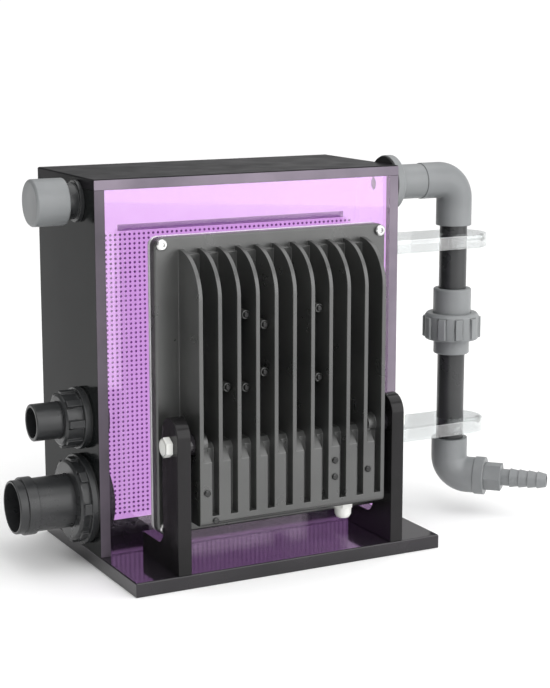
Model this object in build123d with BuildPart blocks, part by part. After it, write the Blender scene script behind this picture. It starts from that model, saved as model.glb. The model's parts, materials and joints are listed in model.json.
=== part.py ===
from build123d import *
import math
import os

# Salt chlorine generator: a glossy black tank with a clear front window, an electrode
# cell behind a perforated screen, a finned power unit that tilts between two brackets
# in front of the window, two pipe ports and a capped vent on the left, and a pipe run
# with a union and a hose barb on the right.
# Millimetres, +Z up, window facing -Y, origin at the centre of the base's underside.

# ---------------------------------------------------------------- driving dimensions
base_width = 304.8
base_depth = 219.1
base_thick = 12.7
tank_depth = 139.7
tank_height = 336.8          # from the base's top face
wall = 9.5
window_thick = 6.0
screen_setback = 57.0        # window face to screen face
sheet = 3.0
sill_height = 15.0
plate_stock = 12.7           # brackets and pipe clips

bracket_gap = 200.0
leg_depth = 33.0
foot_height = 20.0
foot_fillet = 12.0
pivot_height = 111.5         # above the base's top face
pivot_r = 6.0
bracket_rise = 9.0           # pivot to the centre of the round top

unit_width = 228.6
unit_low = 26.0              # heights above the base's top face
unit_high = 289.0
unit_setback = 40.0          # window face to the flange's front face
flange_thick = 10.0
gasket_thick = 1.5
cover_thick = 4.5
unit_corner_r = 8.0
fin_count = 11
fin_pitch = 18.0
fin_thick = 4.0
fin_reach = 40.0
fin_web = 4.0

port_setback = 40.0
pipe_setback = 27.0
pipe_stand_off = 80.2        # right wall to the pipe's axis
pipe_r = 13.335
pipe_bore = 10.4
socket_r = 13.4
socket_depth = 14.0
run_height = 318.0

running = 0.05               # radial clearance of a shaft in its hole
clearance = 0.3              # free space between pieces that move past each other

# ---------------------------------------------------------------- derived places
half_width = base_width / 2
deck = base_thick
front = -base_depth / 2
tank_back = base_depth / 2
tank_front = tank_back - tank_depth
inside_half = half_width - wall
tank_top = deck + tank_height
ceiling = tank_top - wall
window_back = tank_front + window_thick
screen_front = tank_front + screen_setback
screen_back = screen_front + sheet
pivot_y = front + leg_depth / 2
pivot_z = deck + pivot_height
bracket_mid = bracket_gap / 2 + plate_stock / 2

X_AXIS = (1, 0, 0)
Y_AXIS = (0, 1, 0)
UP = (0, 0, 1)
LEFT = (-1, 0, 0)
FORWARD = (0, -1, 0)
DOWN = (0, 0, -1)


# ---------------------------------------------------------------- shared operations
# Each works in the part that is being built when it is called.
def block(x, y, z, mode=Mode.ADD):
    """Rectangular block between the (low, high) pairs x, y and z."""
    with BuildSketch(Plane.XY.offset(z[0])) as outline:
        with Locations(((x[0] + x[1]) / 2, (y[0] + y[1]) / 2)):
            Rectangle(x[1] - x[0], y[1] - y[0])
    extrude(outline.sketch, amount=z[1] - z[0], mode=mode)


def rod(origin, direction, length, radius, mode=Mode.ADD):
    """Round bar from origin along direction."""
    with BuildSketch(Plane(origin=origin, z_dir=direction)) as disc:
        Circle(radius)
    extrude(disc.sketch, amount=length, mode=mode)


def hexagon(origin, direction, length, across_flats):
    """Hexagonal bar from origin along direction."""
    with BuildSketch(Plane(origin=origin, z_dir=direction)) as outline:
        RegularPolygon(across_flats / 2, 6, major_radius=False)
    extrude(outline.sketch, amount=length)


def turn(origin, direction, outline):
    """Solid of revolution about a line: outline holds (distance along, radius) points."""
    along = Vector(*direction)
    side = Vector(0, 0, 1) if abs(along.Z) < 0.5 else Vector(1, 0, 0)
    with BuildSketch(Plane(origin=origin, x_dir=along, z_dir=along.cross(side))) as section:
        with BuildLine():
            Polyline(*outline, close=True)
        make_face()
    revolve(section.sketch, axis=Axis(origin, direction))


def lugs(origin, direction, count, length, inner_r, outer_r, width):
    """Ring of grip lugs standing on a round nut."""
    depth = outer_r - inner_r + 1.0
    with BuildSketch(Plane(origin=origin, z_dir=direction)) as pattern:
        with PolarLocations(outer_r - depth / 2, count):
            Rectangle(depth, width)
    extrude(pattern.sketch, amount=length)


def rounded_plate(y, thickness, half_x, z, corner_r, mode=Mode.ADD):
    """Upright plate with rounded corners, from y backwards."""
    middle = (z[0] + z[1]) / 2
    with BuildSketch(Plane(origin=(0, y, middle), x_dir=LEFT, z_dir=Y_AXIS)) as outline:
        RectangleRounded(2 * half_x, z[1] - z[0], corner_r)
    extrude(outline.sketch, amount=thickness, mode=mode)


def save(body, name):
    body.part.label = name
    export_step(body.part, f"parts/{name}.step")


# ---------------------------------------------------------------- base and tank
screw_r = 3.0
screw_head_r = 5.5
screw_head = 4.0
screw_depth = 16.0           # into the bracket
bracket_screw_ys = (pivot_y, tank_front - 12.0)
bracket_screw_places = [(side * bracket_mid, y) for side in (-1, 1) for y in bracket_screw_ys]

lower_port = {"name": "lower_port", "z": deck + 45.5, "pipe_r": 24.15, "bore_r": 21.8, "reach": 67.8,
              "nut_r": 39.0, "nut_reach": 16.0, "flange_r": 41.0, "inner_r": 33.0, "collar_r": 26.0}
upper_port = {"name": "upper_port", "z": deck + 120.5, "pipe_r": 16.7, "bore_r": 13.5, "reach": 48.0,
              "nut_r": 26.0, "nut_reach": 23.4, "flange_r": 28.0, "inner_r": 24.0, "collar_r": 16.7}
vent_z = deck + 315.0
vent_neck_r = 10.0
port_y = tank_front + port_setback
pipe_y = tank_front + pipe_setback
run_z = deck + run_height
outlet_neck_r = 8.6


def make_base_plate():
    with BuildPart() as base_plate:
        block((-half_width, half_width), (front, tank_back), (0, base_thick))
        chamfer(base_plate.edges().group_by(Axis.Z)[-1], 0.8)
        for x, y in bracket_screw_places:
            rod((x, y, 0), UP, base_thick, screw_r + running, Mode.SUBTRACT)
            rod((x, y, 0), UP, screw_head + 0.5, screw_head_r + clearance, Mode.SUBTRACT)
    save(base_plate, "base_plate")


def make_walls():
    with BuildPart() as left_wall:
        block((-half_width, -inside_half), (tank_front, tank_back), (deck, ceiling))
        for z, radius in ((lower_port["z"], lower_port["pipe_r"]), (upper_port["z"], upper_port["pipe_r"]),
                          (vent_z, vent_neck_r)):
            rod((-half_width, port_y, z), X_AXIS, wall, radius + running, Mode.SUBTRACT)
    save(left_wall, "left_wall")
    with BuildPart() as right_wall:
        block((inside_half, half_width), (tank_front, tank_back), (deck, ceiling))
        rod((inside_half, pipe_y, run_z), X_AXIS, wall, outlet_neck_r + running, Mode.SUBTRACT)
    save(right_wall, "right_wall")
    with BuildPart() as back_wall:
        block((-inside_half, inside_half), (tank_back - wall, tank_back), (deck, ceiling))
        for x in (-terminal_x, terminal_x):
            rod((x, tank_back - wall, terminal_z), Y_AXIS, wall, terminal_r + running, Mode.SUBTRACT)
    save(back_wall, "back_wall")
    with BuildPart() as top_plate:
        block((-half_width, half_width), (tank_front, tank_back), (ceiling, tank_top))
        chamfer(top_plate.edges().group_by(Axis.Z)[-1], 0.8)
    save(top_plate, "top_plate")
    with BuildPart() as front_window:
        block((-inside_half, inside_half), (tank_front, window_back), (deck, ceiling))
    save(front_window, "front_window")


screen_margin = 18.5         # left wall to the screen's edge
sill_depth = 12.0
baffle_hole_r = 7.0


def make_screen():
    left = -inside_half + screen_margin
    right = inside_half - sheet
    with BuildPart() as perforated_screen:
        block((left, right), (screen_front, screen_back), (deck + sill_height, ceiling))
    save(perforated_screen, "perforated_screen")
    with BuildPart() as screen_sill:
        block((left, right), (screen_front, screen_front + sill_depth), (deck, deck + sill_height))
    save(screen_sill, "screen_sill")
    with BuildPart() as side_baffle:
        block((right, inside_half), (window_back, screen_back), (deck, ceiling))
        rod((right, pipe_y, run_z), X_AXIS, sheet, baffle_hole_r, Mode.SUBTRACT)
        block((right, inside_half), (screen_front, screen_back), (deck, deck + sill_height), Mode.SUBTRACT)
    save(side_baffle, "side_baffle")


# ---------------------------------------------------------------- electrode cell
electrode_half = 108.0
electrode_thick = 1.5
electrode_pitch = 10.0
electrode_low = deck + 30.0
electrode_high = electrode_low + 210.0
first_y = screen_back + 16.0
last_y = first_y + 4 * electrode_pitch + electrode_thick
tie_places = [(x, z) for x in (-80.0, 80.0) for z in (electrode_low + 30.0, electrode_high - 25.0)]
tie_r = 3.0
terminal_x = 70.0
terminal_z = electrode_high + 18.0
terminal_r = 5.0
terminal_nut = 6.0           # thickness
terminal_nut_ys = (tank_back, tank_back + 9.0)
collar_r = 9.0
stud_end_r = 4.0
stud_end_length = 6.0
stud_neck_r = 3.6            # relief between the shank and the stud end
tab_half = 12.0
tab_rise = 12.0              # above the terminal
cell_end = 5.0               # rods and rails beyond the outer plates
spacer_r = 6.0
cradle_half = 95.0
rail_x = 52.0
rail_width = 12.0
rail_depth = 6.0


def electrode(y, tab_x, name):
    """One flat electrode with its tab, drilled for the terminal and the tie rods."""
    with BuildPart() as plate:
        thickness = (y, y + electrode_thick)
        block((-electrode_half, electrode_half), thickness, (electrode_low, electrode_high))
        block((tab_x - tab_half, tab_x + tab_half), thickness, (electrode_high, terminal_z + tab_rise))
        rod((tab_x, y, terminal_z), Y_AXIS, electrode_thick, terminal_r + running, Mode.SUBTRACT)
        for x, z in tie_places:
            rod((x, y, z), Y_AXIS, electrode_thick, tie_r + running, Mode.SUBTRACT)
    save(plate, name)


def terminal(x, name):
    """Stud through one set of tabs and the back wall, with a collar against the wall."""
    start = first_y - 4.0
    collar = tank_back - wall - start
    neck = terminal_nut_ys[1] + terminal_nut - 0.2 - start
    shoulder = neck + 0.6
    end = shoulder + stud_end_length
    with BuildPart() as stud:
        turn((x, start, terminal_z), Y_AXIS,
             [(0, 0), (end + 0.8, 0), (end + 0.8, stud_end_r - 0.8), (end, stud_end_r),
              (shoulder, stud_end_r), (shoulder, stud_neck_r), (neck, stud_neck_r), (neck, terminal_r),
              (collar, terminal_r), (collar, collar_r), (collar - 3.0, collar_r),
              (collar - 3.0, terminal_r), (0, terminal_r)])
    save(stud, name)


def make_cell():
    for number in range(3):
        electrode(first_y + 2 * number * electrode_pitch, -terminal_x, f"cathode_plate_{number + 1}")
    for number in range(2):
        electrode(first_y + (2 * number + 1) * electrode_pitch, terminal_x, f"anode_plate_{number + 1}")
    terminal(-terminal_x, "cathode_terminal")
    terminal(terminal_x, "anode_terminal")
    with BuildPart() as terminal_nuts:
        for x in (-terminal_x, terminal_x):
            for y in terminal_nut_ys:
                hexagon((x, y, terminal_z), Y_AXIS, terminal_nut, 17.0)
            rod((x, tank_back, terminal_z), Y_AXIS, 15.0, terminal_r + running, Mode.SUBTRACT)
    save(terminal_nuts, "terminal_nuts")
    with BuildPart() as cell_tie_rods:
        for x, z in tie_places:
            rod((x, first_y - cell_end, z), Y_AXIS, last_y - first_y + 2 * cell_end, tie_r)
    save(cell_tie_rods, "cell_tie_rods")
    with BuildPart() as cell_spacers:
        for x, z in tie_places:
            for step in range(4):
                y = first_y + step * electrode_pitch + electrode_thick
                rod((x, y, z), Y_AXIS, electrode_pitch - electrode_thick, spacer_r)
            rod((x, first_y, z), Y_AXIS, last_y - first_y, tie_r + running, Mode.SUBTRACT)
    save(cell_spacers, "cell_spacers")
    with BuildPart() as cell_cradle:
        span = (first_y - cell_end, last_y + cell_end)
        block((-cradle_half, cradle_half), span, (deck, deck + 6.0))
        for side in (-1, 1):
            rail = sorted((side * rail_x, side * (rail_x + rail_width)))
            block(rail, span, (deck, electrode_low + rail_depth))
        for step in range(5):
            y = first_y + step * electrode_pitch
            slot = (y - running, y + electrode_thick + running)
            block((-cradle_half, cradle_half), slot, (electrode_low, electrode_low + rail_depth),
                  Mode.SUBTRACT)
    save(cell_cradle, "cell_cradle")


# ---------------------------------------------------------------- ports and vent
def make_port(port):
    """Bulkhead fitting through the left wall, with its nut and gasket outside."""
    name = port["name"]
    seat = (-half_width, port_y, port["z"])
    pipe = port["pipe_r"]
    bore = port["bore_r"]
    reach = port["reach"]
    inside = -wall - 8.0
    with BuildPart() as bulkhead:
        turn(seat, LEFT, [(inside, bore), (reach, bore), (reach, pipe - 0.8), (reach - 0.8, pipe),
                          (-wall, pipe), (-wall, port["inner_r"]), (inside, port["inner_r"])])
        if port["collar_r"] > pipe:
            turn(seat, LEFT, [(reach - 18.0, pipe - 1.0), (reach - 8.0, pipe - 1.0),
                              (reach - 8.0, port["collar_r"]), (reach - 18.0, port["collar_r"])])
    save(bulkhead, f"{name}_bulkhead")
    nut_r = port["nut_r"]
    ring_r = nut_r - 2.5
    face = port["nut_reach"]
    hole = pipe + running
    with BuildPart() as nut:
        turn(seat, LEFT, [(gasket_thick, hole), (face, hole), (face, ring_r - 2.0), (face - 2.0, ring_r),
                          (7.0, ring_r), (7.0, port["flange_r"]), (gasket_thick, port["flange_r"])])
        lugs((-half_width - 6.5, port_y, port["z"]), LEFT, 8, face - 9.0, ring_r, nut_r, nut_r * 0.26)
    save(nut, f"{name}_nut")
    with BuildPart() as gasket:
        turn(seat, LEFT, [(0, hole), (gasket_thick, hole), (gasket_thick, port["flange_r"] - 1.0),
                          (0, port["flange_r"] - 1.0)])
    save(gasket, f"{name}_gasket")


stem_r = 16.0
stem_bore = 6.5
stem_reach = 38.0
cap_r = 20.8
cap_start = 13.0             # left wall to the cap's open rim
cap_reach = 44.3


def make_vent():
    seat = (-half_width, port_y, vent_z)
    cap_inner = stem_r + clearance
    cap_ceiling = stem_reach + 2.0
    with BuildPart() as vent_stem:
        turn(seat, LEFT, [(-wall, stem_bore), (stem_reach, stem_bore), (stem_reach, stem_r - 1.0),
                          (stem_reach - 1.0, stem_r), (4.0, stem_r), (4.0, stem_r + 2.5), (0, stem_r + 2.5),
                          (0, vent_neck_r), (-wall, vent_neck_r)])
    save(vent_stem, "vent_stem")
    with BuildPart() as vent_cap:
        turn(seat, LEFT, [(cap_start, cap_inner), (cap_ceiling, cap_inner), (cap_ceiling, 0), (cap_reach, 0),
                          (cap_reach, cap_r - 1.8), (cap_reach - 1.8, cap_r), (cap_start + 1.0, cap_r),
                          (cap_start, cap_r - 1.0)])
    save(vent_cap, "vent_cap")


# ---------------------------------------------------------------- brackets and pivots
def bracket(side, name):
    """Leg with a round top over the pivot, filleted into a foot that runs to the window."""
    back = front + leg_depth
    foot_back = tank_front - 1.0
    foot_top = deck + foot_height
    inner = side * bracket_gap / 2
    outer = inner + side * plate_stock
    blend = foot_fillet * (1 - math.cos(math.radians(45)))
    round_z = pivot_z + bracket_rise
    with BuildPart() as plate:
        with BuildSketch(Plane(origin=(min(inner, outer), 0, 0), x_dir=Y_AXIS, z_dir=X_AXIS)):
            with BuildLine():
                Line((front, round_z), (front, deck))
                Line((front, deck), (foot_back, deck))
                Line((foot_back, deck), (foot_back, foot_top))
                Line((foot_back, foot_top), (back + foot_fillet, foot_top))
                ThreePointArc((back + foot_fillet, foot_top), (back + blend, foot_top + blend),
                              (back, foot_top + foot_fillet))
                Line((back, foot_top + foot_fillet), (back, round_z))
                ThreePointArc((back, round_z), (pivot_y, round_z + leg_depth / 2), (front, round_z))
            make_face()
            with Locations((pivot_y, pivot_z)):
                Circle(pivot_r + running, mode=Mode.SUBTRACT)
        extrude(amount=plate_stock)
        for y in bracket_screw_ys:
            rod((side * bracket_mid, y, deck), UP, screw_depth, screw_r + running, Mode.SUBTRACT)
    save(plate, name)


bolt_flats = 16.0
bolt_head = 6.3
washer_r = 10.0


def pivot_bolt(side, name):
    """Nylon bolt whose plain shank carries the power unit."""
    start = (side * (bracket_gap / 2 + plate_stock), pivot_y, pivot_z)
    outward = (side, 0, 0)
    inward = (-side, 0, 0)
    shank = plate_stock + bracket_gap / 2 - housing_half + trunnion_depth - 1.0
    with BuildPart() as bolt:
        hexagon(start, outward, bolt_head, bolt_flats)
        turn(start, outward, [(bolt_head - 0.1, 0), (bolt_head + 0.7, 0),
                              (bolt_head + 0.7, bolt_flats / 2 - 1.4), (bolt_head - 0.1, bolt_flats / 2 - 0.5)])
        turn(start, inward, [(0, 0), (shank, 0), (shank, pivot_r - 1.0), (shank - 1.0, pivot_r),
                             (0, pivot_r)])
    save(bolt, name)


def make_brackets():
    bracket(-1, "left_bracket")
    bracket(1, "right_bracket")
    pivot_bolt(-1, "left_pivot_bolt")
    pivot_bolt(1, "right_pivot_bolt")
    washer = bracket_gap / 2 - housing_half - clearance
    with BuildPart() as pivot_washers:
        for side in (-1, 1):
            start = (side * bracket_gap / 2, pivot_y, pivot_z)
            rod(start, (-side, 0, 0), washer, washer_r)
            rod(start, (-side, 0, 0), washer, pivot_r + running, Mode.SUBTRACT)
    save(pivot_washers, "pivot_washers")
    with BuildPart() as bracket_screws:
        for x, y in bracket_screw_places:
            top = base_thick + screw_depth - 1.0
            turn((x, y, 0.5), UP, [(0, 0), (top, 0), (top, screw_r), (screw_head, screw_r),
                                   (screw_head, screw_head_r), (0, screw_head_r)])
    save(bracket_screws, "bracket_screws")


# ---------------------------------------------------------------- power unit
unit_half = unit_width / 2
flange_front = tank_front - unit_setback
flange_back = flange_front + flange_thick
cover_front = flange_back + gasket_thick
fin_front = flange_front - fin_reach
web_front = flange_front - fin_web
housing_half = (fin_count - 1) / 2 * fin_pitch + fin_thick / 2
body_low = deck + 41.0
body_high = deck + 278.0
unit_z = (deck + unit_low, deck + unit_high)
lip_r = 5.0

compartment_top = deck + 98.0
roof_rise = 14.0
rim_top = deck + 50.0
slot_width = 6.5
slot_depth = 10.0

skin = 3.0
cavity_half = 84.0
cavity_high = deck + 264.0
pocket_high = deck + 95.0
pocket_front = fin_front + slot_depth + 4.0
trunnion_r = 9.0
trunnion_length = 12.0
trunnion_depth = 10.0        # of the bolt's hole in it

cover_inset = 6.2
cover_screw_r = 2.5
cover_screw_places = [(x, z) for x in (-unit_half + cover_inset, unit_half - cover_inset)
                      for z in (unit_z[0] + cover_inset, unit_z[1] - cover_inset)]
boss_bays = ((1, 160.0), (2, 158.0), (2, 222.0), (3, 170.0), (3, 212.0), (6, 160.0), (6, 222.0))
boss_offset = 13.5           # from the left face of the fin before it
boss_r = 4.0
boss_front = fin_front + 10.0
face_screw_places = ((6.6, 71.0), (14.6, 45.5), (132.6, 85.0), (132.6, 70.0), (166.6, 73.0))
small_screw_r = 1.5
gland_x = 60.6
gland_y = flange_front - 20.0
gland_thread_r = 6.0
gland_flats = 17.0
gland_hex = 6.0              # thickness of its hexagon
gland_drop = 16.0            # below the housing
gland_rise = rim_top - body_low + 8.0
cable_r = 3.2

fin_xs = [(number - (fin_count - 1) / 2) * fin_pitch for number in range(fin_count)]
boss_places = [(-housing_half + bay * fin_pitch + boss_offset, boss_front, deck + z)
               for bay, z in boss_bays]
face_places = [(-housing_half + x, fin_front, deck + z) for x, z in face_screw_places]


def side_plane(x):
    """Plane across the width at x, with its own x axis along +Y and y axis along +Z."""
    return Plane(origin=(x, 0, 0), x_dir=Y_AXIS, z_dir=X_AXIS)


def lower_lip():
    """Rounded lower front corner shared by the fins and the compartment."""
    middle = lip_r * (1 - math.cos(math.radians(45)))
    Line((flange_front, body_low), (fin_front + lip_r, body_low))
    ThreePointArc((fin_front + lip_r, body_low), (fin_front + middle, body_low + middle),
                  (fin_front, body_low + lip_r))


def fin(x):
    """Upright fin whose top sweeps back to the flange in a quarter circle."""
    sweep_low = body_high - fin_reach
    bulge = fin_reach * math.cos(math.radians(45))
    with BuildSketch(side_plane(x - fin_thick / 2)) as outline:
        with BuildLine() as edge:
            lower_lip()
            Line((fin_front, body_low + lip_r), (fin_front, sweep_low))
            ThreePointArc((fin_front, sweep_low), (flange_front - bulge, sweep_low + bulge),
                          (flange_front, body_high))
            Line((flange_front, body_high), (flange_front, body_low))
        make_face(edge.edges())
    extrude(outline.sketch, amount=fin_thick)


def compartment():
    """Deep lower box with a roof that slopes up from its front face."""
    roof = compartment_top + roof_rise
    with BuildSketch(side_plane(-housing_half)) as outline:
        with BuildLine() as edge:
            lower_lip()
            Polyline((fin_front, body_low + lip_r), (fin_front, compartment_top),
                     (fin_front + roof_rise, roof), (flange_front, roof), (flange_front, body_low))
        make_face(edge.edges())
    extrude(outline.sketch, amount=2 * housing_half)
    for x in fin_xs[1:]:
        edge_x = x - fin_thick / 2
        slot = (edge_x - slot_width, edge_x)
        block(slot, (fin_front, fin_front + slot_depth), (rim_top, roof), Mode.SUBTRACT)


def make_housing():
    with BuildPart() as finned_housing:
        rounded_plate(flange_front, flange_thick, unit_half, unit_z, unit_corner_r)
        chamfer(finned_housing.edges().group_by(Axis.Y)[0], 1.2)
        block((-housing_half, housing_half), (web_front, flange_front), (body_low, body_high - fin_web))
        compartment()
        for x in fin_xs:
            fin(x)
        for x, y, z in boss_places:
            rod((x, y, z), Y_AXIS, web_front - y, boss_r)
            rod((x, y, z), Y_AXIS, 8.0, small_screw_r + running, Mode.SUBTRACT)
        for x, y, z in face_places:
            rod((x, y, z), Y_AXIS, 5.0, small_screw_r + running, Mode.SUBTRACT)
        for side in (-1, 1):
            start = (side * housing_half, pivot_y, pivot_z)
            rod(start, (-side, 0, 0), trunnion_length, trunnion_r)
        cavity = (-cavity_half, cavity_half)
        block(cavity, (web_front + skin, flange_back), (rim_top, cavity_high), Mode.SUBTRACT)
        block(cavity, (pocket_front, flange_back), (rim_top, pocket_high), Mode.SUBTRACT)
        for side in (-1, 1):
            start = (side * housing_half, pivot_y, pivot_z)
            rod(start, (-side, 0, 0), trunnion_depth, pivot_r + running, Mode.SUBTRACT)
        for x, z in cover_screw_places:
            rod((x, flange_front, z), Y_AXIS, flange_thick, cover_screw_r + running, Mode.SUBTRACT)
        rod((gland_x, gland_y, body_low), UP, rim_top - body_low, gland_thread_r + running, Mode.SUBTRACT)
    save(finned_housing, "finned_housing")


board_back = cover_front - 5.0
board_thick = 1.6
board_half = 76.0
board_z = (pocket_high + 10.0, cavity_high - 6.0)
post_places = [(x, z) for x in (-board_half + 8.0, board_half - 8.0)
               for z in (board_z[0] + 8.0, board_z[1] - 8.0)]


def make_cover():
    with BuildPart() as cover_gasket:
        rounded_plate(flange_back, gasket_thick, unit_half - 1.0, (unit_z[0] + 1.0, unit_z[1] - 1.0),
                      unit_corner_r - 1.0)
        block((-cavity_half, cavity_half), (flange_back, cover_front), (rim_top, cavity_high), Mode.SUBTRACT)
        for x, z in cover_screw_places:
            rod((x, flange_back, z), Y_AXIS, gasket_thick, cover_screw_r + running, Mode.SUBTRACT)
    save(cover_gasket, "cover_gasket")
    with BuildPart() as rear_cover:
        rounded_plate(cover_front, cover_thick, unit_half, unit_z, unit_corner_r)
        fillet(rear_cover.edges().group_by(Axis.Y)[-1], 1.5)
        for x, z in post_places:
            rod((x, cover_front, z), FORWARD, cover_front - board_back, 3.0)
        for x, z in cover_screw_places:
            rod((x, cover_front, z), Y_AXIS, cover_thick, cover_screw_r + running, Mode.SUBTRACT)
    save(rear_cover, "rear_cover")
    head = 3.2
    length = head + flange_thick + gasket_thick + cover_thick
    with BuildPart() as corner_screws:
        for x, z in cover_screw_places:
            turn((x, flange_front - head, z), Y_AXIS,
                 [(1.6, 0), (length - 0.5, 0), (length - 0.5, cover_screw_r), (head, cover_screw_r),
                  (head, 5.0), (1.0, 5.0), (0, 3.9), (0, 2.2), (1.6, 2.2)])
    save(corner_screws, "corner_screws")
    with BuildPart() as boss_screws:
        for x, y, z in boss_places + face_places:
            turn((x, y - 2.0, z), Y_AXIS, [(0, 0), (6.0, 0), (6.0, small_screw_r), (2.0, small_screw_r),
                                           (2.0, 2.9), (0.8, 2.9), (0, 2.0)])
    save(boss_screws, "boss_screws")


def make_electronics():
    board_front = board_back - board_thick
    inner_floor = web_front + skin
    with BuildPart() as circuit_board:
        block((-board_half, board_half), (board_front, board_back), board_z)
    save(circuit_board, "circuit_board")
    with BuildPart() as rectifier_module:
        block((-22.0, 22.0), (inner_floor, inner_floor + 4.0), (deck + 190.0, deck + 222.0))
        for x in (-14.0, 0.0, 14.0):
            block((x - 3.0, x + 3.0), (inner_floor + 4.0, board_front), (deck + 200.0, deck + 206.0))
    save(rectifier_module, "rectifier_module")
    core_y = (pocket_front + 3.0, pocket_front + 23.0)
    with BuildPart() as transformer:
        block((-62.0, -6.0), core_y, (rim_top, rim_top + 42.0))
        block((-50.0, -18.0), (core_y[0] - 3.0, core_y[1] + 6.0), (rim_top + 8.0, rim_top + 34.0))
    save(transformer, "transformer")
    with BuildPart() as terminal_block:
        block((10.0, 50.0), (flange_front - 12.0, flange_front + 2.0), (rim_top, rim_top + 14.0))
        for number in range(4):
            rod((15.0 + 10.0 * number, flange_front - 5.0, rim_top + 14.0), DOWN, 6.0, 2.5, Mode.SUBTRACT)
    save(terminal_block, "terminal_block")
    with BuildPart() as cable_gland:
        origin = (gland_x, gland_y, body_low)
        hexagon(origin, DOWN, gland_hex, gland_flats)
        turn(origin, DOWN, [(gland_hex - 1.0, cable_r), (gland_drop, cable_r), (gland_drop, 5.5),
                            (gland_drop - 3.0, 7.4), (gland_hex - 1.0, 8.0)])
        rod(origin, UP, gland_rise, gland_thread_r)
        rod((gland_x, gland_y, body_low - gland_drop), UP, gland_drop + gland_rise, cable_r, Mode.SUBTRACT)
    save(cable_gland, "cable_gland")


# ---------------------------------------------------------------- right-hand pipework
pipe_x = half_width + pipe_stand_off
elbow_seam = 40.2            # right wall to the elbow's face
elbow_low = deck + 273.5
elbow_bend_r = 19.0
upper_elbow_r = 17.25
lower_elbow_r = 17.75
union_high = deck + 211.5
union_nut_z = (deck + 161.2, deck + 187.3)
union_split = deck + 175.0
union_low = deck + 146.5
lower_elbow_high = deck + 61.0
lower_leg_z = deck + 23.5
leg_length = 37.0
leg_direction = (math.cos(math.radians(45)), -math.sin(math.radians(45)), 0)
barb_reach = 98.0
clip_lows = {"lower_clip": deck + 69.0, "upper_clip": deck + 253.0}
clip_end_x = pipe_x + 6.0
clip_half = 27.0
clip_screw_r = 2.5
clip_screw_head_r = 4.2


def point_along(origin, direction, distance):
    return tuple(start + distance * part for start, part in zip(origin, direction))


def bent_tube(corner, first, second, bend_r, radius, mode=Mode.ADD):
    """Tube round one corner: first and second are each (direction, length) from it."""
    start = point_along(corner, *first)
    end = point_along(corner, *second)
    inward = tuple(-part for part in first[0])
    with BuildLine() as path:
        FilletPolyline(start, corner, end, radius=bend_r)
    with BuildSketch(Plane(origin=start, z_dir=inward)) as section:
        Circle(radius)
    sweep(section.sketch, path=path.wire(), mode=mode)


outlet_ring_r = 26.0
outlet_hub_r = 19.0
nipple_r = 16.5


def make_outlet():
    seat = (half_width, pipe_y, run_z)
    hub_end = 14.0
    with BuildPart() as outlet_gasket:
        rod(seat, X_AXIS, gasket_thick, outlet_ring_r - 1.0)
        rod(seat, X_AXIS, gasket_thick, outlet_neck_r + running, Mode.SUBTRACT)
    save(outlet_gasket, "outlet_gasket")
    with BuildPart() as outlet_bulkhead:
        turn(seat, X_AXIS, [(-wall, 6.0), (3.0, 6.0), (3.0, socket_r), (hub_end, socket_r),
                            (hub_end, outlet_hub_r), (9.5, outlet_hub_r), (9.5, outlet_ring_r - 1.0),
                            (8.5, outlet_ring_r), (gasket_thick, outlet_ring_r),
                            (gasket_thick, outlet_neck_r), (-wall, outlet_neck_r)])
    save(outlet_bulkhead, "outlet_bulkhead")
    far = elbow_seam + socket_depth
    with BuildPart() as outlet_nipple:
        turn(seat, X_AXIS, [(3.2, pipe_bore), (far, pipe_bore), (far, pipe_r), (elbow_seam, pipe_r),
                            (elbow_seam, nipple_r), (hub_end, nipple_r), (hub_end, pipe_r), (3.2, pipe_r)])
    save(outlet_nipple, "outlet_nipple")


def pipe(low, high, name):
    with BuildPart() as length:
        rod((pipe_x, pipe_y, low), UP, high - low, pipe_r)
        rod((pipe_x, pipe_y, low), UP, high - low, pipe_bore, Mode.SUBTRACT)
    save(length, name)


def make_elbows():
    corner = (pipe_x, pipe_y, run_z)
    run = (LEFT, pipe_stand_off - elbow_seam)
    drop = (DOWN, run_z - elbow_low)
    with BuildPart() as upper_elbow:
        bent_tube(corner, run, drop, elbow_bend_r, upper_elbow_r)
        bent_tube(corner, run, drop, elbow_bend_r, pipe_bore, Mode.SUBTRACT)
        rod(point_along(corner, *run), X_AXIS, socket_depth, socket_r, Mode.SUBTRACT)
        rod(point_along(corner, *drop), UP, socket_depth, socket_r, Mode.SUBTRACT)
    save(upper_elbow, "upper_elbow")
    corner = (pipe_x, pipe_y, lower_leg_z)
    rise = (UP, lower_elbow_high - lower_leg_z)
    leg = (leg_direction, leg_length)
    inward = tuple(-part for part in leg_direction)
    with BuildPart() as lower_elbow:
        bent_tube(corner, rise, leg, elbow_bend_r, lower_elbow_r)
        rod(point_along(corner, *leg), inward, 10.0, lower_elbow_r + 1.0)
        bent_tube(corner, rise, leg, elbow_bend_r, 9.5, Mode.SUBTRACT)
        rod(point_along(corner, *rise), DOWN, socket_depth, socket_r, Mode.SUBTRACT)
        rod(point_along(corner, *leg), inward, socket_depth, spigot_r + running, Mode.SUBTRACT)
    save(lower_elbow, "lower_elbow")
    pipe(union_high - socket_depth, elbow_low + socket_depth, "upper_pipe")
    pipe(lower_elbow_high - socket_depth, union_low + socket_depth, "lower_pipe")


union_neck_r = 18.5
union_face_r = 23.5
union_end_r = 17.5
union_nut_r = 26.6
union_lug_r = 28.4
union_roof = 4.0             # the nut's inward lip
o_ring_r = (14.0, 17.0)


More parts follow.
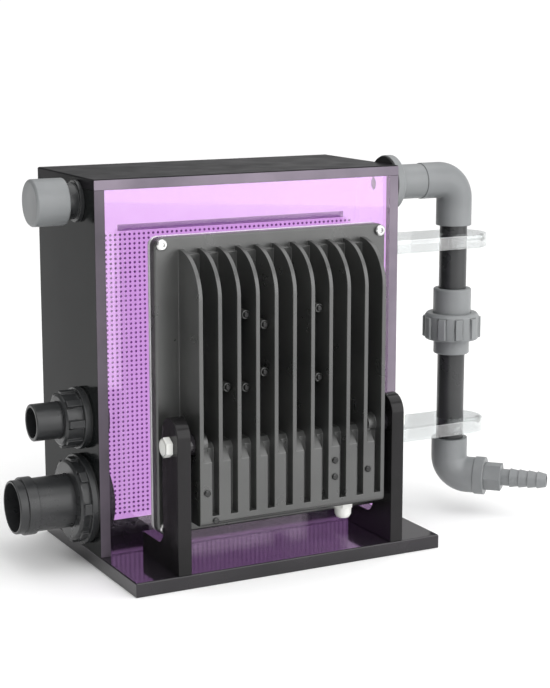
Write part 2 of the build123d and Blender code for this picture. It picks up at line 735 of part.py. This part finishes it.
def make_union():
    floor = (pipe_x, pipe_y, 0)
    neck_r = union_neck_r
    face_r = union_face_r
    shoulder = union_nut_z[1] - union_roof - clearance
    with BuildPart() as union_tailpiece:
        stop = union_high - socket_depth
        turn(floor, UP, [(union_split, pipe_bore), (stop, pipe_bore), (stop, socket_r),
                         (union_high, socket_r), (union_high, neck_r - 1.0), (union_high - 1.0, neck_r),
                         (shoulder, neck_r), (shoulder, face_r), (union_split, face_r)])
    save(union_tailpiece, "union_tailpiece")
    groove = union_split - 2.0
    with BuildPart() as union_end:
        stop = union_low + socket_depth
        turn(floor, UP, [(union_low, socket_r), (stop, socket_r), (stop, pipe_bore), (union_split, pipe_bore),
                         (union_split, o_ring_r[0]), (groove, o_ring_r[0]), (groove, o_ring_r[1]),
                         (union_split, o_ring_r[1]), (union_split, face_r), (union_nut_z[0] + 1.0, face_r),
                         (union_nut_z[0] - 1.0, union_end_r), (union_low + 1.0, union_end_r),
                         (union_low, union_end_r - 1.0)])
    save(union_end, "union_end")
    with BuildPart() as union_o_ring:
        inner = o_ring_r[0] + 0.1
        outer = o_ring_r[1] - 0.1
        turn(floor, UP, [(groove, inner), (union_split, inner), (union_split, outer), (groove, outer)])
    save(union_o_ring, "union_o_ring")
    low, high = union_nut_z
    inner = face_r + clearance
    with BuildPart() as union_nut:
        turn(floor, UP, [(low, inner), (high - union_roof, inner), (high - union_roof, neck_r + clearance),
                         (high, neck_r + clearance), (high, union_nut_r - 2.2), (high - 3.0, union_nut_r),
                         (low + 2.0, union_nut_r), (low, union_nut_r - 1.0)])
        lugs((pipe_x, pipe_y, low + 2.0), UP, 10, high - low - 6.0, union_nut_r, union_lug_r, 7.0)
    save(union_nut, "union_nut")


barb_bore = 5.0
barb_tip_r = 6.6
barb_crest_r = 8.6
barb_pitch = 9.0
barb_hex = 16.5
barb_flats = 25.1
spigot_r = 10.6


def make_hose_barb():
    corner = (pipe_x, pipe_y, lower_leg_z)
    start = leg_length - socket_depth + 0.2
    hex_end = leg_length + barb_hex
    bore = barb_bore
    ridges = [(barb_reach, bore), (barb_reach, barb_tip_r)]
    for number in range(4):
        crest = barb_reach - barb_pitch * (number + 1)
        crest_r = barb_crest_r + 0.3 * number
        ridges += [(crest, crest_r), (crest, crest_r - 1.2)]
    with BuildPart() as hose_barb:
        turn(corner, leg_direction, [(start, bore)] + ridges +
             [(hex_end, barb_crest_r - 0.2), (hex_end, spigot_r + 0.4), (leg_length, spigot_r + 0.4),
              (leg_length, spigot_r), (start, spigot_r)])
        hexagon(point_along(corner, leg_direction, leg_length), leg_direction, barb_hex, barb_flats)
        rod(point_along(corner, leg_direction, start), leg_direction, barb_reach - start, bore,
            Mode.SUBTRACT)
    save(hose_barb, "hose_barb")


def make_clips():
    tip = clip_end_x + clip_half
    screw_start = pipe_x + socket_r + 1.0
    screw_length = tip - screw_start
    y_span = (pipe_y - clip_half, pipe_y + clip_half)
    for name, low in clip_lows.items():
        with BuildPart() as clip:
            block((half_width, clip_end_x), y_span, (low, low + plate_stock))
            rod((clip_end_x, pipe_y, low), UP, plate_stock, clip_half)
            rod((pipe_x, pipe_y, low), UP, plate_stock, socket_r, Mode.SUBTRACT)
            # The screw hole starts well inside the pipe's bore, so the two walls cross cleanly.
            hole_start = (pipe_x, pipe_y, low + plate_stock / 2)
            rod(hole_start, X_AXIS, tip - pipe_x, clip_screw_r + running, Mode.SUBTRACT)
        save(clip, name)
    with BuildPart() as clip_screws:
        for low in clip_lows.values():
            turn((screw_start, pipe_y, low + plate_stock / 2), X_AXIS,
                 [(0, 0), (screw_length + 2.0, 0), (screw_length + 2.0, clip_screw_head_r - 0.6),
                  (screw_length + 0.1, clip_screw_head_r), (screw_length + 0.1, clip_screw_r),
                  (0, clip_screw_r)])
    save(clip_screws, "clip_screws")


os.makedirs("parts", exist_ok=True)
make_base_plate()
make_walls()
make_screen()
make_cell()
make_port(lower_port)
make_port(upper_port)
make_vent()
make_brackets()
make_housing()
make_cover()
make_electronics()
make_outlet()
make_elbows()
make_union()
make_hose_barb()
make_clips()
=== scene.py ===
import json
import math

import bmesh
import bpy
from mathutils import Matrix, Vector

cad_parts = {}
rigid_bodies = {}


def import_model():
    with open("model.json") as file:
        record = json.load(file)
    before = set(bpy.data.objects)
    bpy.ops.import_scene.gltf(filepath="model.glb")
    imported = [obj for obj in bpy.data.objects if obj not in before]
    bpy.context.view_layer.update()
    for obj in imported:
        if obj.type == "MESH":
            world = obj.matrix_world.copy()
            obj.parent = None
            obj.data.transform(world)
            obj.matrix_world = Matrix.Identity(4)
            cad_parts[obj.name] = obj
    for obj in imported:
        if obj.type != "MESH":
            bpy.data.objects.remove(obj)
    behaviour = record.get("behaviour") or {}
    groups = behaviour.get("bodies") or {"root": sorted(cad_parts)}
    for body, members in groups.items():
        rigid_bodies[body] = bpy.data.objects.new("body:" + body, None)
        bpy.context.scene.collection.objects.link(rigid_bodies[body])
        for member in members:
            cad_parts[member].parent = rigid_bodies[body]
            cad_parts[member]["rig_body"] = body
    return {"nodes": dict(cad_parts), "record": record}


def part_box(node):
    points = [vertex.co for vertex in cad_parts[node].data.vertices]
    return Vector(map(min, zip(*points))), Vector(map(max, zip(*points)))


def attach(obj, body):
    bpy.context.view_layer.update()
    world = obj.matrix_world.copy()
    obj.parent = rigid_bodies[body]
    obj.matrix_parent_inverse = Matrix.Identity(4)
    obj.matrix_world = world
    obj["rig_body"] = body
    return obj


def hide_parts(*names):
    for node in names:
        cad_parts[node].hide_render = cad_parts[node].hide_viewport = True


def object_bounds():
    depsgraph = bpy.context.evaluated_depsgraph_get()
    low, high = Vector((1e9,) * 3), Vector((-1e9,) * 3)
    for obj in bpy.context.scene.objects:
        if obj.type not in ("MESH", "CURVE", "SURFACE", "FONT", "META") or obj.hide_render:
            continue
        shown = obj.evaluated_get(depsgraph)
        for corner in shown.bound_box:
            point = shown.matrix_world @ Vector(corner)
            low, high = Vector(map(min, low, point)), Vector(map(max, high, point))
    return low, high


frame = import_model()
cad_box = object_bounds()
nodes = frame["nodes"]
slots = {entry["node"]: entry["material_slot"] for entry in frame["record"]["subparts"]}

MM = 0.001


# ---------------------------------------------------------------- materials
# Scales of the noise behind a finish, and how strongly its grain stands out.
MOTTLE_SCALE = 14.0
WEAR_SCALE = 40.0
SHEET_WEAR_SCALE = 30.0
GRAIN_STRENGTH = 0.35
# The stretch of noise values that a finish spreads over its own range.
NOISE_LOW, NOISE_HIGH = 0.3, 0.7
TINT_LOW, TINT_HIGH = 0.35, 0.65


def principled(name, colour, roughness, **sockets):
    """A new node material: returns the material, its node tree and its shader."""
    material = bpy.data.materials.new(name)
    material.use_nodes = True
    tree = material.node_tree
    shader = tree.nodes["Principled BSDF"]
    shader.inputs["Base Color"].default_value = (*colour, 1.0)
    shader.inputs["Roughness"].default_value = roughness
    for socket, value in sockets.items():
        shader.inputs[socket.replace("_", " ")].default_value = value
    return material, tree, shader


def noise(tree, scale, detail=4.0, stretch=(1.0, 1.0, 1.0)):
    """Noise over the object's own coordinates; stretch above 1 packs it closer on that axis."""
    place = tree.nodes.new("ShaderNodeTexCoord")
    mapping = tree.nodes.new("ShaderNodeMapping")
    mapping.inputs["Scale"].default_value = stretch
    texture = tree.nodes.new("ShaderNodeTexNoise")
    texture.inputs["Scale"].default_value = scale
    texture.inputs["Detail"].default_value = detail
    tree.links.new(place.outputs["Object"], mapping.inputs["Vector"])
    tree.links.new(mapping.outputs["Vector"], texture.inputs["Vector"])
    return texture.outputs["Fac"]


def spread(tree, factor, low, high):
    """Maps a noise value to the range low to high."""
    ramp = tree.nodes.new("ShaderNodeMapRange")
    ramp.inputs["From Min"].default_value = NOISE_LOW
    ramp.inputs["From Max"].default_value = NOISE_HIGH
    ramp.inputs["To Min"].default_value = low
    ramp.inputs["To Max"].default_value = high
    tree.links.new(factor, ramp.inputs["Value"])
    return ramp.outputs["Result"]


def tint(tree, shader, factor, dark, light):
    """Varies the base colour between two colours."""
    ramp = tree.nodes.new("ShaderNodeValToRGB")
    ramp.color_ramp.elements[0].position = TINT_LOW
    ramp.color_ramp.elements[0].color = (*dark, 1.0)
    ramp.color_ramp.elements[1].position = TINT_HIGH
    ramp.color_ramp.elements[1].color = (*light, 1.0)
    tree.links.new(factor, ramp.inputs["Fac"])
    tree.links.new(ramp.outputs["Color"], shader.inputs["Base Color"])


def bump(tree, shader, height, distance):
    """Raises a noise value as a fine relief of the given depth."""
    node = tree.nodes.new("ShaderNodeBump")
    node.inputs["Strength"].default_value = GRAIN_STRENGTH
    node.inputs["Distance"].default_value = distance
    tree.links.new(height, node.inputs["Height"])
    tree.links.new(node.outputs["Normal"], shader.inputs["Normal"])


def surface(name, dark, light, roughness, grain, grain_depth, stretch=(1.0, 1.0, 1.0), **sockets):
    """A solid finish: mottled colour, uneven roughness and a fine grain in relief."""
    material, tree, shader = principled(name, light, roughness[0], **sockets)
    tint(tree, shader, noise(tree, MOTTLE_SCALE, stretch=stretch), dark, light)
    wear = noise(tree, WEAR_SCALE, stretch=stretch)
    tree.links.new(spread(tree, wear, *roughness), shader.inputs["Roughness"])
    bump(tree, shader, noise(tree, grain, 2.0, stretch), grain_depth)
    return material


def clear_sheet(name, colour, mirror, roughness, sheen=(1.0, 1.0, 1.0)):
    """Thin clear acrylic: mostly see-through, with a glossy layer that grows at a glance."""
    material = bpy.data.materials.new(name)
    material.use_nodes = True
    tree = material.node_tree
    tree.nodes.remove(tree.nodes["Principled BSDF"])
    output = tree.nodes["Material Output"]
    through = tree.nodes.new("ShaderNodeBsdfTransparent")
    through.inputs["Color"].default_value = (*colour, 1.0)
    gloss = tree.nodes.new("ShaderNodeBsdfGlossy")
    gloss.inputs["Color"].default_value = (*sheen, 1.0)
    wear = noise(tree, SHEET_WEAR_SCALE)
    tree.links.new(spread(tree, wear, *roughness), gloss.inputs["Roughness"])
    facing = tree.nodes.new("ShaderNodeLayerWeight")
    facing.inputs["Blend"].default_value = 0.25
    amount = tree.nodes.new("ShaderNodeMapRange")
    amount.inputs["To Min"].default_value = mirror[0]
    amount.inputs["To Max"].default_value = mirror[1]
    mix = tree.nodes.new("ShaderNodeMixShader")
    tree.links.new(facing.outputs["Facing"], amount.inputs["Value"])
    tree.links.new(amount.outputs["Result"], mix.inputs["Fac"])
    tree.links.new(through.outputs["BSDF"], mix.inputs[1])
    tree.links.new(gloss.outputs["BSDF"], mix.inputs[2])
    tree.links.new(mix.outputs["Shader"], output.inputs["Surface"])
    return material


finishes = {
    "black_acrylic": surface(
        "polished_black_acrylic", (0.01, 0.009, 0.011), (0.02, 0.017, 0.021), (0.06, 0.15), 400.0, 0.00002),
    # Painted glow: the purple sheet emits light of its own, standing for light passing through it inside the
    # dark tank.
    "purple_acrylic": surface(
        "purple_acrylic", (0.06, 0.035, 0.065), (0.09, 0.05, 0.1), (0.2, 0.32), 500.0, 0.00003,
        Emission_Color=(0.72, 0.39, 0.82, 1.0), Emission_Strength=0.95, Specular_IOR_Level=0.2),
    "titanium": surface(
        "titanium", (0.3, 0.3, 0.31), (0.42, 0.42, 0.43), (0.35, 0.5), 900.0, 0.00004,
        (1.0, 1.0, 12.0), Metallic=1.0),
    "stainless": surface(
        "stainless", (0.5, 0.5, 0.5), (0.66, 0.66, 0.65), (0.18, 0.34), 900.0, 0.00003, Metallic=1.0),
    "dark_pvc": surface(
        "dark_pvc", (0.016, 0.017, 0.018), (0.028, 0.029, 0.03), (0.24, 0.38), 700.0, 0.00006),
    "rubber": surface(
        "rubber", (0.014, 0.014, 0.014), (0.024, 0.024, 0.024), (0.7, 0.85), 900.0, 0.0001),
    "black_steel": surface(
        "black_oxide_steel", (0.03, 0.03, 0.03), (0.06, 0.06, 0.06), (0.25, 0.4), 900.0, 0.00003,
        Metallic=1.0),
    "bare_aluminium": surface(
        "brushed_aluminium", (0.72, 0.72, 0.73), (0.85, 0.85, 0.86), (0.25, 0.4), 900.0, 0.00003,
        (14.0, 1.0, 1.0), Metallic=0.6),
    "grey_pvc": surface(
        "grey_pvc", (0.17, 0.178, 0.182), (0.22, 0.228, 0.232), (0.32, 0.46), 700.0, 0.00006),
    "white_nylon": surface(
        "white_nylon", (0.7, 0.7, 0.67), (0.8, 0.8, 0.77), (0.35, 0.5), 600.0, 0.00005),
    "black_casting": surface(
        "black_casting", (0.026, 0.027, 0.026), (0.044, 0.045, 0.043), (0.26, 0.4), 1100.0, 0.00012,
        Specular_IOR_Level=1.0),
    "board": surface(
        "circuit_board_green", (0.01, 0.1, 0.04), (0.015, 0.14, 0.05), (0.35, 0.5), 300.0, 0.00005),
    "iron_core": surface(
        "varnished_core", (0.1, 0.09, 0.08), (0.16, 0.15, 0.13), (0.4, 0.6), 400.0, 0.0001,
        (1.0, 14.0, 1.0)),
    "clear_acrylic": clear_sheet("clear_acrylic", (0.86, 0.88, 0.88), (0.12, 0.8), (0.02, 0.06)),
}

# Lit and shaded copies of the same black acrylic: each sheet is painted darker or lighter, with less or more
# gloss, for the light or shade where it stands.
shaded_bracket_acrylic = surface(
    "shaded_satin_black_acrylic", (0.007, 0.007, 0.007), (0.014, 0.013, 0.014), (0.1, 0.2), 400.0, 0.00002,
    Specular_IOR_Level=0.22)
node_finishes = {
    "left_wall": surface(
        "shaded_black_acrylic", (0.006, 0.007, 0.007), (0.012, 0.013, 0.013), (0.1, 0.2), 400.0, 0.00002,
        Specular_IOR_Level=0.045),
    "right_wall": surface(
        "edge_lit_acrylic", (0.02, 0.017, 0.021), (0.034, 0.028, 0.035), (0.1, 0.2), 400.0, 0.00002,
        Specular_IOR_Level=1.0),
    "top_plate": surface(
        "shaded_dull_black_acrylic", (0.008, 0.008, 0.009), (0.016, 0.015, 0.017), (0.3, 0.4), 400.0, 0.00002,
        Specular_IOR_Level=0.04),
    "left_bracket": shaded_bracket_acrylic,
    "right_bracket": shaded_bracket_acrylic,
    "front_window": clear_sheet(
        "window_acrylic", (0.96, 0.94, 0.98), (0.05, 0.6), (0.01, 0.04), (1.0, 0.85, 1.0)),
}

# The walls of the screen's holes and groove: painted shade, darker than the sheet, with a weak painted glow
# of their own.
hole_shade_and_glow = surface(
    "purple_hole_walls_painted_shade_and_glow", (0.04, 0.008, 0.06), (0.07, 0.015, 0.1), (0.4, 0.5), 500.0, 0.00002,
    Emission_Color=(0.11, 0.012, 0.16, 1.0), Emission_Strength=1.0)

# Cut edges of black acrylic are duller and greyer than its polished faces.
cut_edge = surface("cut_acrylic_edge", (0.12, 0.1, 0.13), (0.2, 0.165, 0.21), (0.4, 0.55), 600.0, 0.00005)
shaded_edge = surface(
    "shaded_acrylic_edge", (0.05, 0.04, 0.054), (0.09, 0.072, 0.095), (0.4, 0.55), 600.0, 0.00005)
front_edge_finishes = {"left_wall": shaded_edge, "top_plate": cut_edge, "right_wall": cut_edge}


# ---------------------------------------------------------------- finished pieces
SHARP = math.radians(32)
SAME_PLANE = math.radians(0.6)
WELD = 0.002 * MM
BEVEL_SEGMENTS = 2
# The Y part of a face's normal below which the face looks to the front.
FACES_FRONT = -0.9


def finished(node, finish, width):
    """A welded copy of a CAD node with softened edges, standing for that node."""
    source = nodes[node]
    piece = bpy.data.objects.new(f"{node}_finished", source.data.copy())
    bpy.context.scene.collection.objects.link(piece)
    mesh = piece.data
    form = bmesh.new()
    form.from_mesh(mesh)
    bmesh.ops.remove_doubles(form, verts=form.verts, dist=WELD)
    bmesh.ops.dissolve_limit(form, angle_limit=SAME_PLANE, verts=form.verts, edges=form.edges)
    for face in form.faces:
        face.smooth = True
    for edge in form.edges:
        edge.smooth = len(edge.link_faces) == 2 and edge.calc_face_angle(0.0) < SHARP
    form.to_mesh(mesh)
    form.free()
    mesh.materials.clear()
    mesh.materials.append(finish)
    if node in front_edge_finishes:
        mesh.materials.append(front_edge_finishes[node])
        for polygon in mesh.polygons:
            polygon.material_index = int(polygon.normal.y < FACES_FRONT)
    soft = piece.modifiers.new("soft_edges", "BEVEL")
    soft.width = width
    soft.segments = BEVEL_SEGMENTS
    soft.limit_method = "ANGLE"
    soft.angle_limit = SHARP
    soft.use_clamp_overlap = False
    soft.harden_normals = True
    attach(piece, source["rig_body"])
    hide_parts(node)


# How wide a softened edge is, in millimetres.
soft_widths = {
    "base_plate": 0.5, "left_wall": 0.4, "right_wall": 0.4, "back_wall": 0.4, "top_plate": 0.5,
    "left_bracket": 0.7, "right_bracket": 0.7, "finned_housing": 0.6, "rear_cover": 0.4,
    "left_pivot_bolt": 0.6, "right_pivot_bolt": 0.6, "pivot_washers": 0.5, "cable_gland": 0.4,
    "corner_screws": 0.3, "boss_screws": 0.2, "lower_port_bulkhead": 0.5, "lower_port_nut": 0.7,
    "upper_port_bulkhead": 0.5, "upper_port_nut": 0.6, "vent_stem": 0.5, "vent_cap": 0.8,
    "outlet_bulkhead": 0.5, "outlet_nipple": 0.4, "upper_elbow": 0.6, "union_tailpiece": 0.6,
    "union_nut": 0.7, "union_end": 0.6, "lower_elbow": 0.6, "hose_barb": 0.4, "upper_clip": 0.6,
    "lower_clip": 0.6, "clip_screws": 0.3, "terminal_nuts": 0.4,
}


def finish_nodes():
    """A finished copy for each node with softened edges, and a finish for every other node."""
    for name, node in nodes.items():
        finish = node_finishes.get(name) or finishes[slots[name]]
        if name in soft_widths:
            finished(name, finish, soft_widths[name] * MM)
        else:
            for slot in node.material_slots:
                slot.material = finish


# ---------------------------------------------------------------- perforated screen
HOLE_PITCH = (4.67 * MM, 4.32 * MM)
HOLE_RADIUS = 1.25 * MM
HOLE_SIDES = 8
HOLE_START = math.radians(-112.5)
PLAIN_TOP = 44.7 * MM
PLAIN_FOOT = 4.0 * MM
PLAIN_SIDE = 2.5 * MM
# A groove above the holes, open at the front: painted shade, a dark slot standing in for the dark band of the
# unit's flange seen on the screen.
SHADE_GROOVE_ENDS = (-110.7 * MM, 127.0 * MM)
SHADE_GROOVE_GAP = 1.2 * MM
SHADE_GROOVE_HEIGHT = 5.8 * MM


def divided(low, high, margin_low, margin_high, pitch):
    """Cell edges from low to high: a plain margin, whole cells of one pitch, a plain margin."""
    inner_low = low + margin_low
    count = int((high - margin_high - inner_low) / pitch)
    return [low] + [inner_low + pitch * step for step in range(count + 1)] + [high]


def hole_ring(middle_x, y, middle_z):
    """The points round one end of a hole."""
    points = []
    for step in range(HOLE_SIDES):
        angle = HOLE_START + math.tau * step / HOLE_SIDES
        points.append((middle_x + HOLE_RADIUS * math.cos(angle), y, middle_z + HOLE_RADIUS * math.sin(angle)))
    return points


def drilled_cell(cell, back, near, far):
    """The sheet's two faces round one hole, and the wall of the hole."""
    flats = []
    walls = []
    for side in range(4):
        following = (side + 1) % 4
        a, b, c = 2 * side, 2 * side + 1, (2 * side + 2) % HOLE_SIDES
        flats.append([cell[side], cell[following], near[b], near[a]])
        flats.append([cell[following], near[c], near[b]])
        flats.append([back[following], back[side], far[a], far[b]])
        flats.append([back[following], far[b], far[c]])
    for step in range(HOLE_SIDES):
        after = (step + 1) % HOLE_SIDES
        walls.append([near[step], near[after], far[after], far[step]])
    return flats, walls


def shade_groove_walls(cells):
    """The foot, roof and floor of the painted-shade groove in each of its cells, and its two ends."""
    walls = []
    for cell, back in cells:
        walls.append([cell[0], cell[1], back[1], back[0]])
        walls.append([cell[2], cell[3], back[3], back[2]])
        walls.append(back[::-1])
    for (cell, back), inner, outer in ((cells[0], 3, 0), (cells[-1], 1, 2)):
        walls.append([cell[inner], cell[outer], back[outer], back[inner]])
    return walls


def sheet_rim(wide, tall):
    """The outer edge of a sheet whose two grids of points are wide by tall."""
    corners = wide * tall
    top = (tall - 1) * wide
    rim = []
    for i in range(wide - 1):
        rim.append([i + 1, i, i + corners, i + 1 + corners])
        rim.append([top + i, top + i + 1, top + i + 1 + corners, top + i + corners])
    for j in range(tall - 1):
        start, above = j * wide, (j + 1) * wide
        rim.append([start, above, above + corners, start + corners])
        rim.append([above + wide - 1, start + wide - 1, start + wide - 1 + corners,
                    above + wide - 1 + corners])
    return rim


def perforated_sheet():
    """The purple screen with every hole cut through its thickness."""
    low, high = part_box("perforated_screen")
    columns = divided(low.x, high.x, PLAIN_SIDE, PLAIN_SIDE, HOLE_PITCH[0])
    rows = divided(low.z, high.z, PLAIN_FOOT, PLAIN_TOP, HOLE_PITCH[1])
    shade_groove_foot = rows[-2] + SHADE_GROOVE_GAP
    rows[-1:] = [shade_groove_foot, shade_groove_foot + SHADE_GROOVE_HEIGHT, high.z]
    shade_groove_row = len(rows) - 3
    wide = len(columns)
    corners = wide * len(rows)
    points = [(x, y, z) for y in (low.y, high.y) for z in rows for x in columns]
    sheet_faces = sheet_rim(wide, len(rows))
    hole_faces = []
    shade_groove_cells = []
    for j in range(len(rows) - 1):
        for i in range(wide - 1):
            cell = [j * wide + i, j * wide + i + 1, (j + 1) * wide + i + 1, (j + 1) * wide + i]
            back = [corner + corners for corner in cell]
            if j == shade_groove_row and SHADE_GROOVE_ENDS[0] < columns[i] and columns[i + 1] < SHADE_GROOVE_ENDS[1]:
                shade_groove_cells.append((cell, back))
            elif i in (0, wide - 2) or j == 0 or j >= shade_groove_row - 1:
                sheet_faces += [cell, back[::-1]]
            else:
                middle_x = (columns[i] + columns[i + 1]) / 2
                middle_z = (rows[j] + rows[j + 1]) / 2
                near = range(len(points), len(points) + HOLE_SIDES)
                far = range(near.stop, near.stop + HOLE_SIDES)
                points += hole_ring(middle_x, low.y, middle_z) + hole_ring(middle_x, high.y, middle_z)
                flats, walls = drilled_cell(cell, back, near, far)
                sheet_faces += flats
                hole_faces += walls
    hole_faces += shade_groove_walls(shade_groove_cells)
    mesh = bpy.data.meshes.new("screen_with_holes")
    mesh.from_pydata(points, [], sheet_faces + hole_faces)
    mesh.materials.append(finishes["purple_acrylic"])
    mesh.materials.append(hole_shade_and_glow)
    for polygon in mesh.polygons[len(sheet_faces):]:
        polygon.material_index = 1
    piece = bpy.data.objects.new("screen_with_holes", mesh)
    bpy.context.scene.collection.objects.link(piece)
    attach(piece, nodes["perforated_screen"]["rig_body"])
    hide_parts("perforated_screen")


# ---------------------------------------------------------------- stage, light and camera
FLOOR_REACH = 6.0
FLOOR_GAP = 0.2 * MM
BACKDROP_STRENGTH = 1.05
# The room's brightness falls from full to dim along this direction, towards the back left.
DIM_SIDE = (-0.75, 0.66, 0.0)
FULL_FROM, DIM_FROM = -0.25, 0.5
FULL, DIM = 1.0, 0.25


def studio_floor():
    corners = [(-FLOOR_REACH, -FLOOR_REACH, 0), (FLOOR_REACH, -FLOOR_REACH, 0),
               (FLOOR_REACH, FLOOR_REACH, 0), (-FLOOR_REACH, FLOOR_REACH, 0)]
    mesh = bpy.data.meshes.new("studio_floor")
    mesh.from_pydata(corners, [], [(0, 1, 2, 3)])
    material, _, _ = principled("pale_floor", (0.98, 0.98, 0.98), 0.7)
    mesh.materials.append(material)
    floor = bpy.data.objects.new("studio_floor", mesh)
    floor.location.z = cad_box[0].z - FLOOR_GAP
    bpy.context.scene.collection.objects.link(floor)


def studio_room():
    """A white room, darker at the back left for everything but the camera."""
    world = bpy.data.worlds.new("studio_world")
    world.use_nodes = True
    tree = world.node_tree
    room = tree.nodes["Background"]
    backdrop = tree.nodes.new("ShaderNodeBackground")
    backdrop.inputs["Strength"].default_value = BACKDROP_STRENGTH
    for background in (room, backdrop):
        background.inputs["Color"].default_value = (1.0, 1.0, 1.0, 1.0)
    direction = tree.nodes.new("ShaderNodeTexCoord")
    side = tree.nodes.new("ShaderNodeVectorMath")
    side.operation = "DOT_PRODUCT"
    side.inputs[1].default_value = DIM_SIDE
    shade = tree.nodes.new("ShaderNodeMapRange")
    shade.inputs["From Min"].default_value = FULL_FROM
    shade.inputs["From Max"].default_value = DIM_FROM
    shade.inputs["To Min"].default_value = FULL
    shade.inputs["To Max"].default_value = DIM
    path = tree.nodes.new("ShaderNodeLightPath")
    choose = tree.nodes.new("ShaderNodeMixShader")
    tree.links.new(direction.outputs["Generated"], side.inputs[0])
    tree.links.new(side.outputs["Value"], shade.inputs["Value"])
    tree.links.new(shade.outputs["Result"], room.inputs["Strength"])
    tree.links.new(path.outputs["Is Camera Ray"], choose.inputs["Fac"])
    tree.links.new(room.outputs["Background"], choose.inputs[1])
    tree.links.new(backdrop.outputs["Background"], choose.inputs[2])
    tree.links.new(choose.outputs["Shader"], tree.nodes["World Output"].inputs["Surface"])
    bpy.context.scene.world = world
    bpy.context.scene.view_settings.view_transform = "Standard"


def lamp(name, place, size, power):
    """A rectangular soft light that faces the middle of the object."""
    middle = (cad_box[0] + cad_box[1]) / 2
    data = bpy.data.lights.new(name, "AREA")
    data.shape = "RECTANGLE"
    data.size, data.size_y = size
    data.energy = power
    light = bpy.data.objects.new(name, data)
    light.location = place
    light.rotation_euler = (middle - Vector(place)).to_track_quat("-Z", "Y").to_euler()
    bpy.context.scene.collection.objects.link(light)


def daylight():
    """Soft light from straight above, the same over the whole floor."""
    data = bpy.data.lights.new("daylight", "SUN")
    data.energy = 1.3
    data.angle = math.radians(80)
    light = bpy.data.objects.new("daylight", data)
    light.location = (0, 0, 3)
    bpy.context.scene.collection.objects.link(light)


def camera():
    """At the front left, a little above the tank, looking down across the window."""
    looks_down = 10.973
    turns_right = 27.606
    data = bpy.data.cameras.new("camera")
    data.sensor_width = 36.0
    data.lens = 90.34
    eye = bpy.data.objects.new("camera", data)
    eye.location = (-0.6975, -1.4063, 0.4923)
    eye.rotation_euler = (math.radians(90 - looks_down), 0, math.radians(-turns_right))
    bpy.context.scene.collection.objects.link(eye)
    bpy.context.scene.camera = eye


finish_nodes()
perforated_sheet()
studio_floor()
studio_room()
lamp("front_right", (1.55, -2.1, 0.9), (2.6, 2.4), 34.0)
lamp("key", (-0.3, -1.9, 1.7), (1.0, 1.0), 12.0)
daylight()
camera()
